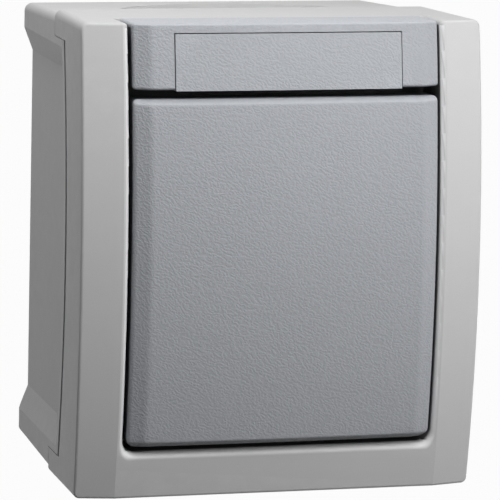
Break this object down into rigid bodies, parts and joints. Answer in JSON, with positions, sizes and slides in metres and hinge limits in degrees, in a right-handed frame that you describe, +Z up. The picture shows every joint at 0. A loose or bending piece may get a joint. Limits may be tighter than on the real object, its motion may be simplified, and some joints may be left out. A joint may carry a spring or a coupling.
{
  "type": "surface-mounted weatherproof light switch",
  "caption": "Surface-mounted weatherproof rocker switch: a deep bowed frame on a recessed rear box, with a wide rocker, a band for a label and soft cable entries.",
  "frame": {"origin": "middle of the wall face of the rear box", "axes": "+Z up; the front faces -Y; +Y points into the wall"},
  "size_m": [0.0706, 0.0581, 0.0804],
  "materials": {
    "housing_grey": "fine satin grain, light neutral grey",
    "rocker_grey": "leather grain, cool mid grey",
    "membrane_grey": "soft matt",
    "seal_rubber": "soft matt black",
    "mechanism_white": "plain moulded",
    "toggle_plastic": "plain moulded",
    "zinc_steel": "bright zinc",
    "contact_brass": "bare brass"
  },
  "bodies": {
    "housing": {"rear_box": "housing_grey", "front_cover": "housing_grey", "top_band": "rocker_grey", "label_plate": "rocker_grey", "entry_membrane_top": "membrane_grey", "entry_membrane_bottom": "membrane_grey", "cover_gasket": "seal_rubber", "actuator_seal": "seal_rubber", "cover_screws": "zinc_steel", "mechanism_base": "mechanism_white", "mechanism_cover": "mechanism_white", "support_plate": "zinc_steel", "mechanism_screws": "zinc_steel", "toggle_axle": "zinc_steel", "contact_saddle": "contact_brass", "fixed_contact_upper": "contact_brass", "fixed_contact_lower": "contact_brass", "terminal_clamp_upper": "contact_brass", "terminal_clamp_lower": "contact_brass", "terminal_clamp_common": "contact_brass", "terminal_screws": "zinc_steel", "earth_terminal": "contact_brass", "earth_screw": "zinc_steel"},
    "rocker": {"rocker": "rocker_grey"},
    "toggle": {"toggle": "toggle_plastic", "plunger": "zinc_steel", "plunger_spring": "zinc_steel"},
    "contact": {"contact_lever": "contact_brass"}
  },
  "joints": [
    {"name": "rocker_tilt", "type": "hinge", "parent": "housing", "child": "rocker", "pos_m": [0, -0.05, -0.00183], "axis": [1, 0, 0], "range_deg": [-4, 4]},
    {"name": "toggle_tilt", "type": "hinge", "parent": "housing", "child": "toggle", "pos_m": [0, -0.0385, -0.00183], "axis": [1, 0, 0], "range_deg": [-6.3, 6.3]},
    {"name": "contact_tilt", "type": "hinge", "parent": "housing", "child": "contact", "pos_m": [0, -0.0301, -0.00183], "axis": [1, 0, 0], "range_deg": [-5.1, 5.1]}
  ],
  "couplings": [
    {"joint": "toggle_tilt", "follows": "rocker_tilt", "ratio": -1.5556},
    {"joint": "contact_tilt", "follows": "rocker_tilt", "ratio": 1.25}
  ]
}
